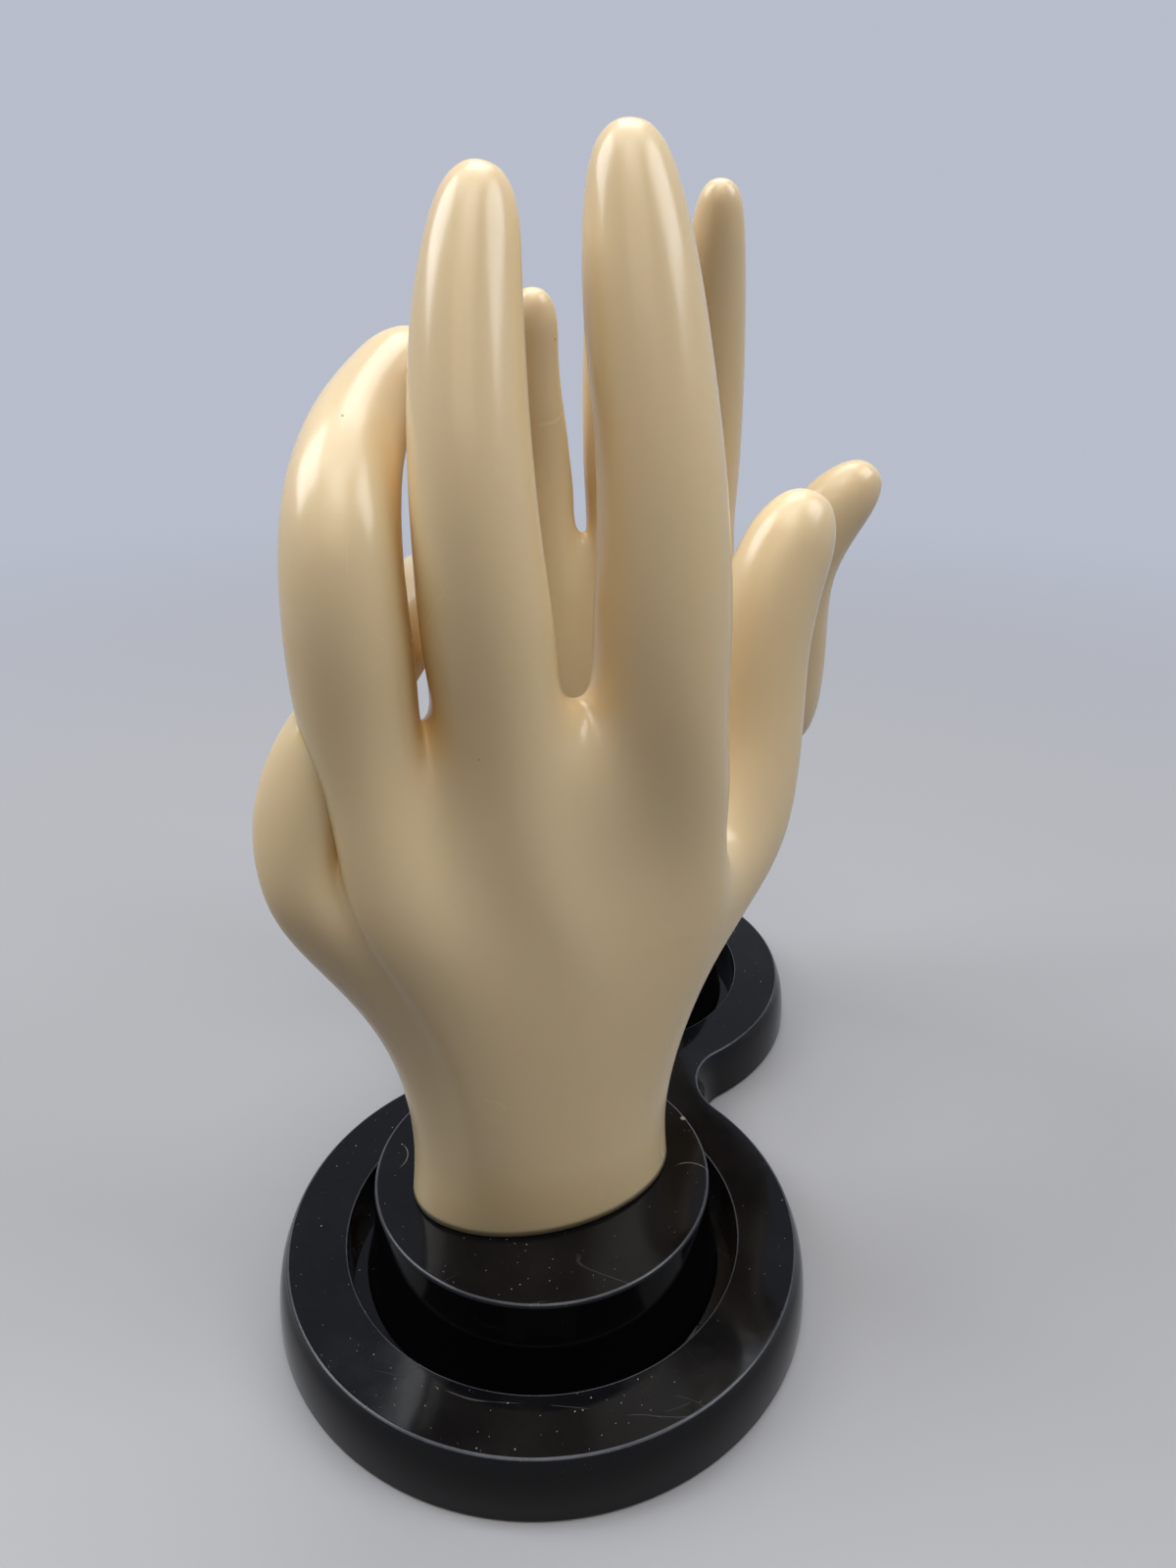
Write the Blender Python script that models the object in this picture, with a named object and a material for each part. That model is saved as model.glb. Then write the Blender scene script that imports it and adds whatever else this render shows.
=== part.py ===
"""Hand jewelry stand: two moulded ivory hands on a glossy black figure-eight base.

The origin is the middle of the base on the table. +Y runs from the disc of the left hand to the
disc of the right hand, +X is the side of both thumbs, and +Z is up. The palms face each other.
"""
from collections import namedtuple
from math import acos, cos, pi, radians, sin, sqrt

import bmesh
import bpy
from mathutils import Vector

MM = 0.001

# Base: plan of the two discs, worked out from their wells
WELL_RADIUS = 44.2 * MM
RIM_WIDTH = 15.8 * MM
DISC_RADIUS = WELL_RADIUS + RIM_WIDTH
WELL_LAND = 18.6 * MM
DISC_SPACING = 2 * WELL_RADIUS + WELL_LAND
WAIST_FILLET = 13 * MM

# Base: skirt and rim
RIM_HEIGHT = 13.9 * MM
RIM_SIDE_DRAW = 2.4 * MM
RIM_EDGE_ROUND = 0.9 * MM
FOOT_EDGE_ROUND = 0.6 * MM
SKIRT_FULLNESS = 0.92
BASE_WALL = 2.6 * MM
WAIST_RIB_THICKNESS = 3.0 * MM

# Base: wells and plinths
WELL_FLOOR = 6.0 * MM
WELL_LIP_CHAMFER = 0.5 * MM
WELL_GAP = 3.8 * MM
PLINTH_FOOT_RADIUS = WELL_RADIUS - WELL_GAP
PLINTH_FLARE = 3.2 * MM
PLINTH_TOP_RADIUS = PLINTH_FOOT_RADIUS - PLINTH_FLARE
PLINTH_HEIGHT = 29.4 * MM
PLINTH_EDGE_ROUND = 0.8 * MM

# Fixing of each hand: one screw and washer from below, through a boss under the plinth
FIT_GAP = 0.3 * MM
SCREW_RADIUS = 2.0 * MM
SCREW_GRIP = 14 * MM
SCREW_HEAD_RADIUS = 4.0 * MM
SCREW_HEAD_HEIGHT = 2.6 * MM
SCREW_CROWN_SHARE = 0.8
SCREW_POINT_SHARE = 0.25
SCREW_SLOT_WIDTH = 1.1 * MM
SCREW_SLOT_DEPTH = 1.2 * MM
WASHER_RADIUS = 5.5 * MM
WASHER_THICKNESS = 1.0 * MM
BOSS_RADIUS = 7.0 * MM
BOSS_DEPTH = 9.0 * MM

# Sections of a hand from the foot up to the knuckles, in the hand's own frame: height above the
# foot, reach to the little finger side, to the thumb side, to the back and to the palm, depth of
# the valleys between the tendons and of the hollow of the palm
Section = namedtuple("Section", "height little_side thumb_side back palm valley hollow")
PALM_SECTIONS = (
    Section(0 * MM, 29.3 * MM, 29.3 * MM, 19.4 * MM, 19.4 * MM, 0 * MM, 0 * MM),
    Section(12 * MM, 27.8 * MM, 28.0 * MM, 18.2 * MM, 18.4 * MM, 0 * MM, 0 * MM),
    Section(28 * MM, 28.8 * MM, 30.5 * MM, 16.8 * MM, 18.5 * MM, 0 * MM, 0 * MM),
    Section(46 * MM, 33.2 * MM, 37.0 * MM, 15.6 * MM, 19.0 * MM, 0 * MM, 2.0 * MM),
    Section(62 * MM, 41.8 * MM, 42.0 * MM, 15.0 * MM, 18.0 * MM, 0.6 * MM, 4.5 * MM),
    Section(78 * MM, 52.4 * MM, 43.0 * MM, 14.6 * MM, 15.0 * MM, 2.2 * MM, 3.0 * MM),
)
PALM_SQUARENESS = 0.8
KNUCKLE_ARCH = 4 * MM
PALM_SETBACK = 6 * MM
WEB_SLOPE = 6 * MM
CORNER_SHARE = 0.72

# A finger: root centre (across, towards the palm, up), bone lengths, degrees of spread towards the
# thumb and of bend towards the palm of each bone, widths at the root, both joints and the tip, and
# depth as a share of width
Finger = namedtuple("Finger", "root bones spread bends widths depth")
LITTLE = Finger((-44.6 * MM, 4.5 * MM, 94 * MM), (31 * MM, 23 * MM, 20 * MM), (40.5, 63, 87),
                (18.4, 54.5, 74.5), (19.4 * MM, 15 * MM, 15.4 * MM, 13 * MM), 0.92)
RING = Finger((-31.5 * MM, 4.6 * MM, 108 * MM), (35.1 * MM, 27.2 * MM, 24.9 * MM),
              (0.3, 29.5, 56), (10.7, 48, 39), (23 * MM, 21.1 * MM, 17.2 * MM, 15.6 * MM), 0.92)
MIDDLE = Finger((-6.9 * MM, 1.9 * MM, 112 * MM), (33.1 * MM, 32.8 * MM, 25.7 * MM),
                (-3.8, 5.2, 13.8), (6.2, 19.8, 20.5), (25 * MM, 22 * MM, 19.5 * MM, 13.6 * MM), 0.92)
INDEX = Finger((25.7 * MM, 2.1 * MM, 110 * MM), (35.9 * MM, 35.9 * MM, 27.9 * MM),
               (1.7, -1.7, -0.8), (7.4, 16.9, 17.4), (28 * MM, 23.9 * MM, 22.1 * MM, 14.4 * MM), 0.92)
THUMB = Finger((42.8 * MM, 14.9 * MM, 58 * MM), (26.5 * MM, 34 * MM, 30 * MM),
               (30.4, 6.9, 25.6), (13.9, 9.7, 7.2), (30 * MM, 23.2 * MM, 22.7 * MM, 17.1 * MM), 0.88)
JOINT_SHARES = (0, 0.42, 0.72, 1)

# Each hand: degrees of turn on its plinth, how far its knuckles lie below its finger roots, its
# palm, its fingers from the little finger to the index finger, and its thumb. The fingers of the
# right hand stand closer together and part higher up, so its palm is narrower at the knuckles.
Hand = namedtuple("Hand", "name turn mirrored knuckle_setback palm fingers thumb")
LEFT_HAND = Hand("left_hand", 25.8, False, 6 * MM, PALM_SECTIONS, (LITTLE, RING, MIDDLE, INDEX), THUMB)
RIGHT_PALM = PALM_SECTIONS[:-2] + (PALM_SECTIONS[-2]._replace(little_side=39.5 * MM),
                                   PALM_SECTIONS[-1]._replace(little_side=46.5 * MM))
RIGHT_LITTLE = LITTLE._replace(
    root=(-37 * MM, 5 * MM, 100 * MM), bones=(22 * MM, 20 * MM, 18 * MM),
    spread=(-6, -1, 6), bends=(12, 24, 26), widths=(18 * MM, 16 * MM, 14 * MM, 11 * MM))
RIGHT_RING = RING._replace(
    root=(-16.3 * MM, 2.5 * MM, 124 * MM), bones=(17.4 * MM, 21.3 * MM, 19.3 * MM),
    spread=(-6.5, -6.7, 4.7), bends=(6.8, 18.1, 18.9), widths=(19.6 * MM, 18.4 * MM, 15.3 * MM, 10.5 * MM))
RIGHT_MIDDLE = MIDDLE._replace(
    root=(6.3 * MM, 1.8 * MM, 124 * MM), bones=(24 * MM, 30 * MM, 26 * MM),
    spread=(-4.4, -3.3, 0.3), bends=(3.3, 11.1, 18.1), widths=(20 * MM, 18.6 * MM, 17 * MM, 12 * MM))
RIGHT_INDEX = INDEX._replace(
    root=(27.2 * MM, 0.5 * MM, 122 * MM), bones=(24 * MM, 32 * MM, 26 * MM),
    spread=(0.3, -2, -3.3), bends=(6.4, 10.3, 12.6), widths=(21 * MM, 19 * MM, 15.6 * MM, 10.5 * MM))
RIGHT_THUMB = THUMB._replace(
    root=(41.2 * MM, 14.9 * MM, 58 * MM), bones=(26.2 * MM, 33.7 * MM, 29.7 * MM),
    spread=(17.1, -3, 38), bends=(11.4, 7.4, 2.4), widths=(28 * MM, 19.8 * MM, 21 * MM, 14.6 * MM))
RIGHT_HAND = Hand("right_hand", 18.8, True, 18 * MM, RIGHT_PALM,
                  (RIGHT_LITTLE, RIGHT_RING, RIGHT_MIDDLE, RIGHT_INDEX), RIGHT_THUMB)

# Control rings of a finger: shares of its length, then lengths of the rounded tip back from its end
FINGER_SHARES = (0.10, 0.24, 0.40, 0.56, 0.72, 0.84)
TIP_BACK_SHARES = (1.0, 0.5, 0.14)
TIP_LENGTH_SHARE = 0.62
THUMB_ROOT_INDEX = 3
RING_TURNS = tuple(radians(-135 + 45 * corner) for corner in range(8))

# A regular ring of eight control points pulls in to this share of its radius when subdivided
RING_PULL = (2 + cos(pi / 4)) / 3
SMOOTHING_STEPS = 1

# Cutters run past the surface by this much
CUTTER_REACH = 5 * MM

# Faces round turned pieces and steps on their curves
ROUND_SEGMENTS = 48
SMALL_SEGMENTS = 16
ARC_STEPS = 2
SKIRT_STEPS = 4
WALL_STEPS = 3
SHARP_EDGE_ANGLE = radians(32)

Look = namedtuple("Look", "name color roughness metallic")
IVORY = Look("ivory_plastic", (0.80, 0.68, 0.49, 1.0), 0.28, 0.0)
BLACK = Look("black_plastic", (0.012, 0.012, 0.014, 1.0), 0.12, 0.0)
STEEL = Look("zinc_plated_steel", (0.62, 0.62, 0.60, 1.0), 0.35, 1.0)


def clear_scene():
    """Remove the objects of the startup file."""
    for item in list(bpy.data.objects):
        bpy.data.objects.remove(item, do_unlink=True)


def material(look):
    """Return the named material, made on first use."""
    found = bpy.data.materials.get(look.name)
    if found:
        return found
    made = bpy.data.materials.new(look.name)
    made.use_nodes = True
    shader = made.node_tree.nodes["Principled BSDF"]
    shader.inputs["Base Color"].default_value = look.color
    shader.inputs["Roughness"].default_value = look.roughness
    shader.inputs["Metallic"].default_value = look.metallic
    return made


def object_from(name, built, look=None, place=(0, 0, 0), parent=None, edged=True):
    """Turn a bmesh into an object; without a look it is a cutter or another helper."""
    bmesh.ops.recalc_face_normals(built, faces=built.faces)
    mesh = bpy.data.meshes.new(name)
    built.to_mesh(mesh)
    built.free()
    made = bpy.data.objects.new(name, mesh)
    made.location = place
    made.parent = parent
    bpy.context.collection.objects.link(made)
    if look:
        mesh.materials.append(material(look))
        mesh.shade_smooth()
        if edged:
            mesh.set_sharp_from_angle(angle=SHARP_EDGE_ANGLE)
    else:
        made.hide_render = True
        made.display_type = "WIRE"
    return made


def combine(target, helper, operation):
    """Add or cut a helper object on a target with an exact Boolean."""
    modifier = target.modifiers.new(helper.name, "BOOLEAN")
    modifier.operation = operation
    modifier.solver = "EXACT"
    modifier.object = helper


def bridge(built, lower, upper, left_open=()):
    """Join two closed loops of vertices by quads, apart from the ones left open."""
    for index in range(len(lower)):
        if index not in left_open:
            following = (index + 1) % len(lower)
            built.faces.new((lower[index], lower[following], upper[following], upper[index]))


def loft(rings):
    """Bridge closed rings of points of equal length and close both ends."""
    built = bmesh.new()
    loops = [[built.verts.new(point) for point in ring] for ring in rings]
    for lower, upper in zip(loops, loops[1:]):
        bridge(built, lower, upper)
    built.faces.new(list(reversed(loops[0])))
    built.faces.new(loops[-1])
    return built


def turned(profile, segments=ROUND_SEGMENTS, centers=(Vector(),), ring=False):
    """Turn (radius, height) points about the vertical through each centre, with flat ends or as a ring."""
    built = bmesh.new()
    turns = [2 * pi * step / segments for step in range(segments)]
    for center in centers:
        loops = [[built.verts.new(center + Vector((radius * cos(turn), radius * sin(turn), height)))
                  for turn in turns] for radius, height in profile]
        for lower, upper in zip(loops, loops[1:]):
            bridge(built, lower, upper)
        if ring:
            bridge(built, loops[-1], loops[0])
        else:
            built.faces.new(loops[0][::-1])
            built.faces.new(loops[-1])
    return built


def arc(center, radius, start, end):
    """Points on an arc in the (radius, height) plane."""
    turns = [start + (end - start) * step / ARC_STEPS for step in range(ARC_STEPS + 1)]
    return [(center[0] + radius * cos(turn), center[1] + radius * sin(turn)) for turn in turns]


def figure_eight(inset, height):
    """Outline of the base at an inset from its widest line: two arcs joined by waist fillets."""
    radius = DISC_RADIUS - inset
    fillet = WAIST_FILLET + inset
    half = DISC_SPACING / 2
    reach = sqrt((radius + fillet) ** 2 - half ** 2)
    waist_turn = acos(half / (radius + fillet))
    waist_steps = ROUND_SEGMENTS // 8
    disc_steps = ROUND_SEGMENTS - 2 * waist_steps
    points = []
    for side in (1, -1):
        start = waist_turn - pi / 2 + (0 if side > 0 else pi)
        for step in range(disc_steps):
            angle = start + (2 * pi - 2 * waist_turn) * step / disc_steps
            points.append((radius * cos(angle), side * half + radius * sin(angle), height))
        for step in range(waist_steps):
            angle = pi / 2 - waist_turn - (pi - 2 * waist_turn) * step / waist_steps
            points.append((side * (fillet * cos(angle) - reach), side * fillet * sin(angle), height))
    return points


def skirt_draw(rise):
    """Inset of the bulging skirt at a share of its height."""
    bulge = 1 - sqrt(1 - (SKIRT_FULLNESS * rise) ** 2)
    return RIM_SIDE_DRAW * bulge / (1 - sqrt(1 - SKIRT_FULLNESS ** 2))


def skirt_profile():
    """Inset and height of the skirt, from the table up to the flat top of the rim."""
    low, top = FOOT_EDGE_ROUND, RIM_HEIGHT - RIM_EDGE_ROUND
    profile = [(FOOT_EDGE_ROUND, 0)]
    for step in range(SKIRT_STEPS + 1):
        rise = step / SKIRT_STEPS
        profile.append((skirt_draw(rise), low + (top - low) * rise))
    for step in range(1, ARC_STEPS + 1):
        turn = pi / 2 * step / ARC_STEPS
        profile.append((RIM_SIDE_DRAW + RIM_EDGE_ROUND * (1 - cos(turn)),
                        top + RIM_EDGE_ROUND * sin(turn)))
    return profile


def plinth_radius_at(height):
    """Radius of the plinth's flared wall at a height."""
    share = (PLINTH_HEIGHT - height) / (PLINTH_HEIGHT - WELL_FLOOR)
    return PLINTH_TOP_RADIUS + PLINTH_FLARE * share ** 2


def plinth_wall(low, high):
    """Points up the plinth's flared wall between two heights."""
    heights = [low + (high - low) * step / WALL_STEPS for step in range(WALL_STEPS + 1)]
    return [(plinth_radius_at(height), height) for height in heights]


def well_profile():
    """Section of the cut for a well, with a chamfer that runs on past the top of the rim."""
    chamfer = WELL_LIP_CHAMFER
    return [(WELL_RADIUS, WELL_FLOOR), (WELL_RADIUS, RIM_HEIGHT - chamfer),
            (WELL_RADIUS + 2 * chamfer, RIM_HEIGHT + chamfer)]


def plinth_profile():
    """Section of a solid plinth, rooted in the floor of its well, with a rounded top edge."""
    wall_top = PLINTH_HEIGHT - PLINTH_EDGE_ROUND
    top_radius = plinth_radius_at(wall_top)
    edge = arc((top_radius - PLINTH_EDGE_ROUND, wall_top), PLINTH_EDGE_ROUND, 0, pi / 2)
    return [(PLINTH_FOOT_RADIUS, WELL_FLOOR - BASE_WALL / 2)] + plinth_wall(WELL_FLOOR, wall_top) + edge[1:]


def cavity_profile():
    """Section of the cut that hollows a plinth from below and leaves its boss."""
    roof = PLINTH_HEIGHT - BASE_WALL
    return [(PLINTH_FOOT_RADIUS - BASE_WALL, -CUTTER_REACH), (PLINTH_TOP_RADIUS - BASE_WALL, roof),
            (BOSS_RADIUS, roof), (BOSS_RADIUS, roof - BOSS_DEPTH)]


def disc_centers():
    """Foot of the axis of the left hand's plinth, then of the right hand's."""
    return Vector((0, -DISC_SPACING / 2, 0)), Vector((0, DISC_SPACING / 2, 0))


def block(size):
    """Box of a size, centred on its origin."""
    built = bmesh.new()
    bmesh.ops.create_cube(built, size=1)
    bmesh.ops.scale(built, vec=size, verts=built.verts)
    return built


def rim_hollow(base):
    """Cutter for the space inside the skirt, round both wells and on either side of the waist rib."""
    roof = RIM_HEIGHT - BASE_WALL
    inside = [figure_eight(BASE_WALL + FOOT_EDGE_ROUND, -CUTTER_REACH),
              figure_eight(BASE_WALL + FOOT_EDGE_ROUND, roof / 2),
              figure_eight(BASE_WALL + RIM_SIDE_DRAW, roof)]
    hollow = object_from("rim_hollow", loft(inside), parent=base)
    jacket = [(WELL_RADIUS + BASE_WALL, WELL_FLOOR - BASE_WALL), (WELL_RADIUS + BASE_WALL, PLINTH_HEIGHT)]
    rib = block((2 * DISC_RADIUS, WAIST_RIB_THICKNESS, 2 * PLINTH_HEIGHT))
    for name, built in (("jackets", turned(jacket, centers=disc_centers())), ("waist_rib", rib)):
        combine(hollow, object_from(name, built, parent=base), "DIFFERENCE")
    return hollow


def make_base():
    """One moulding: skirt and rim, two wells, two hollow plinths with bosses and a waist rib."""
    outside = [figure_eight(inset, height) for inset, height in skirt_profile()]
    base = object_from("base", loft(outside), BLACK)
    centers = disc_centers()
    wells = object_from("wells", turned(well_profile(), centers=centers), parent=base)
    plinths = object_from("plinths", turned(plinth_profile(), centers=centers), parent=base)
    cavities = object_from("cavities", turned(cavity_profile(), centers=centers), parent=base)
    bore = SCREW_RADIUS + FIT_GAP
    bores = turned([(bore, -CUTTER_REACH), (bore, PLINTH_HEIGHT + CUTTER_REACH)], SMALL_SEGMENTS, centers)
    combine(base, wells, "DIFFERENCE")
    combine(base, plinths, "UNION")
    for cutter in (rim_hollow(base), cavities, object_from("screw_bores", bores, parent=base)):
        combine(base, cutter, "DIFFERENCE")
    return base


def column_places(fingers):
    """Places across the hand of the three columns of control points of each finger."""
    return [finger.root[0] + side * finger.widths[0] / 2 * CORNER_SHARE
            for finger in fingers for side in (-1, 0, 1)]


def palm_ring(section, share, columns):
    """Control points round the hand at one level; share runs from the wrist to the knuckles."""
    count = 2 * (len(columns) + 1)
    middle = (section.thumb_side - section.little_side) / 2
    half = (section.thumb_side + section.little_side) / 2
    power = 2 / (2 + PALM_SQUARENESS * share)
    edge = cos(pi / (len(columns) + 1)) ** power
    ring = []
    for index in range(count):
        angle = pi + 2 * pi * index / count
        across = abs(cos(angle)) ** power * (1 if cos(angle) > 0 else -1)
        depth = abs(sin(angle)) ** power * (1 if sin(angle) > 0 else -1)
        on_back = index <= len(columns)
        column = index - 1 if on_back else count - index - 1
        place = middle + half * across
        lift = section.hollow * (across * across - 1) if depth > 0 else 0
        if 0 <= column < len(columns):
            spot = (columns[column] - columns[0]) / (columns[-1] - columns[0])
            wanted = middle + half * edge * (2 * spot - 1)
            place += (wanted - place) * share
            if on_back:
                lift = section.valley * (0 if column % 3 == 1 else 1)
        reach = section.palm if depth > 0 else section.back
        drop = KNUCKLE_ARCH * share ** 2 * max(0, -across)
        ring.append(Vector((place, depth * reach + lift, section.height - drop)))
    return ring


def bone_chain(finger):
    """Points at the root, the joints and the tip of a finger."""
    chain = [Vector(finger.root)]
    for bone, spread, bend in zip(finger.bones, finger.spread, finger.bends):
        spread, bend = radians(spread), radians(bend)
        aim = Vector((sin(spread) * cos(bend), sin(bend), cos(spread) * cos(bend)))
        chain.append(chain[-1] + bone * aim)
    return chain


def joint_slope(chain, joint):
    """Direction of the smooth curve through a chain at one of its points."""
    before, after = chain[max(joint - 1, 0)], chain[min(joint + 1, len(chain) - 1)]
    here = chain[joint]
    return (after - before) / ((here - before).length + (after - here).length)


def along(chain, share):
    """Point and direction at a share of the length of a smooth curve through a chain."""
    spans = [(after - before).length for before, after in zip(chain, chain[1:])]
    left = share * sum(spans)
    span = 0
    while span < len(spans) - 1 and left > spans[span]:
        left -= spans[span]
        span += 1
    t = left / spans[span]
    before, after = chain[span], chain[span + 1]
    enter = joint_slope(chain, span) * spans[span]
    leave = joint_slope(chain, span + 1) * spans[span]
    place = ((2 * t ** 3 - 3 * t ** 2 + 1) * before + (t ** 3 - 2 * t ** 2 + t) * enter
             + (-2 * t ** 3 + 3 * t ** 2) * after + (t ** 3 - t ** 2) * leave)
    slope = ((6 * t ** 2 - 6 * t) * before + (3 * t ** 2 - 4 * t + 1) * enter
             + (-6 * t ** 2 + 6 * t) * after + (3 * t ** 2 - 2 * t) * leave)
    return place, slope.normalized()


def width_at(finger, share):
    """Width of a finger at a share of its length, before its tip rounds off."""
    for joint, (near, far) in enumerate(zip(JOINT_SHARES, JOINT_SHARES[1:])):
        if share <= far:
            t = (share - near) / (far - near)
            blend = t * t * (3 - 2 * t)
            return finger.widths[joint] * (1 - blend) + finger.widths[joint + 1] * blend
    return finger.widths[-1]


def finger_stops(finger):
    """Shares of the length where a finger has control rings, and how round its tip is there."""
    tip = TIP_LENGTH_SHARE * finger.widths[-1] / sum(finger.bones)
    return [(share, 1) for share in FINGER_SHARES] + [
        (1 - back * tip, sqrt(1 - (1 - back) ** 2)) for back in TIP_BACK_SHARES]


def grow(built, root, finger, across, hand_side):
    """Bridge a root loop of eight vertices along a finger and close its rounded tip."""
    chain = bone_chain(finger)
    loop, side = root, across
    for share, rounding in finger_stops(finger):
        place, aim = along(chain, share)
        side = (side - aim * side.dot(aim)).normalized()
        palm = aim.cross(side) * hand_side
        half = width_at(finger, share) * rounding / 2 / RING_PULL
        grown = [built.verts.new(place + side * half * cos(turn)
                                 + palm * half * finger.depth * sin(turn)) for turn in RING_TURNS]
        bridge(built, loop, grown)
        loop = grown
    end = built.verts.new(along(chain, 1)[0])
    for corner in range(0, len(loop), 2):
        built.faces.new((loop[corner - 1], loop[corner], loop[corner + 1], end))


def finger_roots(built, fingers, knuckle_setback):
    """Rows of control points at the finger roots: back, middle and palm, three columns a finger."""
    back, middle, palm = [], [], []
    for finger in fingers:
        center = Vector(finger.root)
        half_width = finger.widths[0] / 2
        half_depth = half_width * finger.depth / RING_PULL
        for side in (-1, 0, 1):
            share = CORNER_SHARE if side else 1
            across = side * half_width * CORNER_SHARE
            slope = WEB_SLOPE * abs(side)
            on_back = Vector((across, -half_depth * share, -knuckle_setback - slope))
            on_palm = Vector((across, half_depth * share, -PALM_SETBACK))
            back.append(built.verts.new(center + on_back))
            palm.append(built.verts.new(center + on_palm))
            if side:
                middle.append(built.verts.new(center + Vector((side * half_width, 0, 0))))
    return back, middle, palm


def grow_fingers(built, hand, top_ring):
    """Close the hand above its top ring with the finger roots, the webs and the fingers."""
    fingers = hand.fingers
    back, middle, palm = finger_roots(built, fingers, hand.knuckle_setback)
    bridge(built, top_ring, [middle[0]] + back + [middle[-1]] + palm[::-1])
    for number, finger in enumerate(fingers):
        first, last = 3 * number, 3 * number + 2
        near, far = middle[2 * number], middle[2 * number + 1]
        root = back[first:last + 1] + [far] + palm[first:last + 1][::-1] + [near]
        grow(built, root, finger, Vector((1, 0, 0)), 1)
        if number + 1 < len(fingers):
            beyond = middle[2 * number + 2]
            built.faces.new((back[last], back[last + 1], beyond, far))
            built.faces.new((far, beyond, palm[last + 1], palm[last]))


def hand_cage(hand):
    """Control cage of a left hand, palm towards +Y and thumb towards +X, standing on z = 0."""
    built = bmesh.new()
    columns = column_places(hand.fingers)
    top = len(hand.palm) - 1
    levels = [[built.verts.new(point) for point in palm_ring(section, level / top, columns)]
              for level, section in enumerate(hand.palm)]
    side = len(columns) + 1
    for level in range(top):
        grows_thumb = THUMB_ROOT_INDEX <= level < THUMB_ROOT_INDEX + 2
        bridge(built, levels[level], levels[level + 1], (side - 1, side) if grows_thumb else ())
    foot = built.faces.new(levels[0][::-1])
    crease = built.edges.layers.float.new("crease_edge")
    for edge in foot.edges:
        edge[crease] = 1.0
    grow_fingers(built, hand, levels[top])
    low, mid, high = levels[THUMB_ROOT_INDEX:THUMB_ROOT_INDEX + 3]
    root = [low[side - 1], mid[side - 1], high[side - 1], high[side],
            high[side + 1], mid[side + 1], low[side + 1], low[side]]
    grow(built, root, hand.thumb, Vector((-1, 0, 0)), -1)
    if hand.mirrored:
        bmesh.ops.scale(built, vec=(1, -1, 1), verts=built.verts)
    return built


def make_hand(hand, center, base):
    """One moulded hand with a blind pilot hole in its foot for the fixing screw."""
    foot = center + Vector((0, 0, PLINTH_HEIGHT + FIT_GAP))
    made = object_from(hand.name, hand_cage(hand), IVORY, foot, base, edged=False)
    made.rotation_euler.z = radians(hand.turn)
    smooth = made.modifiers.new("smooth_form", "SUBSURF")
    smooth.levels = SMOOTHING_STEPS
    smooth.render_levels = SMOOTHING_STEPS
    radius, depth = SCREW_RADIUS + FIT_GAP, SCREW_GRIP + FIT_GAP
    hole = turned([(radius, -CUTTER_REACH), (radius, depth)], SMALL_SEGMENTS)
    combine(made, object_from(hand.name + "_pilot", hole, place=foot, parent=base), "DIFFERENCE")


def make_fixing(side, center, base):
    """Pan head screw and washer that clamp a hand to its plinth from below."""
    seat = PLINTH_HEIGHT - BASE_WALL - BOSS_DEPTH - FIT_GAP
    bore = SCREW_RADIUS + FIT_GAP
    ring = turned([(bore, -WASHER_THICKNESS), (WASHER_RADIUS, -WASHER_THICKNESS),
                   (WASHER_RADIUS, 0), (bore, 0)], SMALL_SEGMENTS, ring=True)
    object_from(side + "_washer", ring, STEEL, center + Vector((0, 0, seat)), base)
    under_head = seat - WASHER_THICKNESS - FIT_GAP
    length = PLINTH_HEIGHT + SCREW_GRIP - under_head
    shank = turned([(SCREW_HEAD_RADIUS * SCREW_CROWN_SHARE, -SCREW_HEAD_HEIGHT),
                    (SCREW_HEAD_RADIUS, -SCREW_HEAD_HEIGHT / 2), (SCREW_HEAD_RADIUS, 0),
                    (SCREW_RADIUS, 0), (SCREW_RADIUS, length - 2 * SCREW_RADIUS),
                    (SCREW_RADIUS * SCREW_POINT_SHARE, length)], SMALL_SEGMENTS)
    place = center + Vector((0, 0, under_head))
    screw = object_from(side + "_screw", shank, STEEL, place, base)
    slot = block((3 * SCREW_HEAD_RADIUS, SCREW_SLOT_WIDTH, 2 * SCREW_SLOT_DEPTH))
    crown = place - Vector((0, 0, SCREW_HEAD_HEIGHT))
    combine(screw, object_from(side + "_slot", slot, place=crown, parent=base), "DIFFERENCE")


def main():
    """Build the base, then each hand with its fixing."""
    clear_scene()
    base = make_base()
    for hand, center, side in zip((LEFT_HAND, RIGHT_HAND), disc_centers(), ("left", "right")):
        make_hand(hand, center, base)
        make_fixing(side, center, base)


main()
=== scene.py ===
"""Looks of the hand jewelry stand: fine hands and base, finishes, light and camera.

Metres, in the frame of the CAD model: the origin is the middle of the base on the table, +Y runs
from the disc of the left hand to the disc of the right hand, +X is the side of both thumbs.
"""

from collections import namedtuple
from math import acos, cos, pi, radians, sin, sqrt

import bmesh
import bpy
from mathutils import Matrix, Vector, noise
from mathutils.bvhtree import BVHTree


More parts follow.
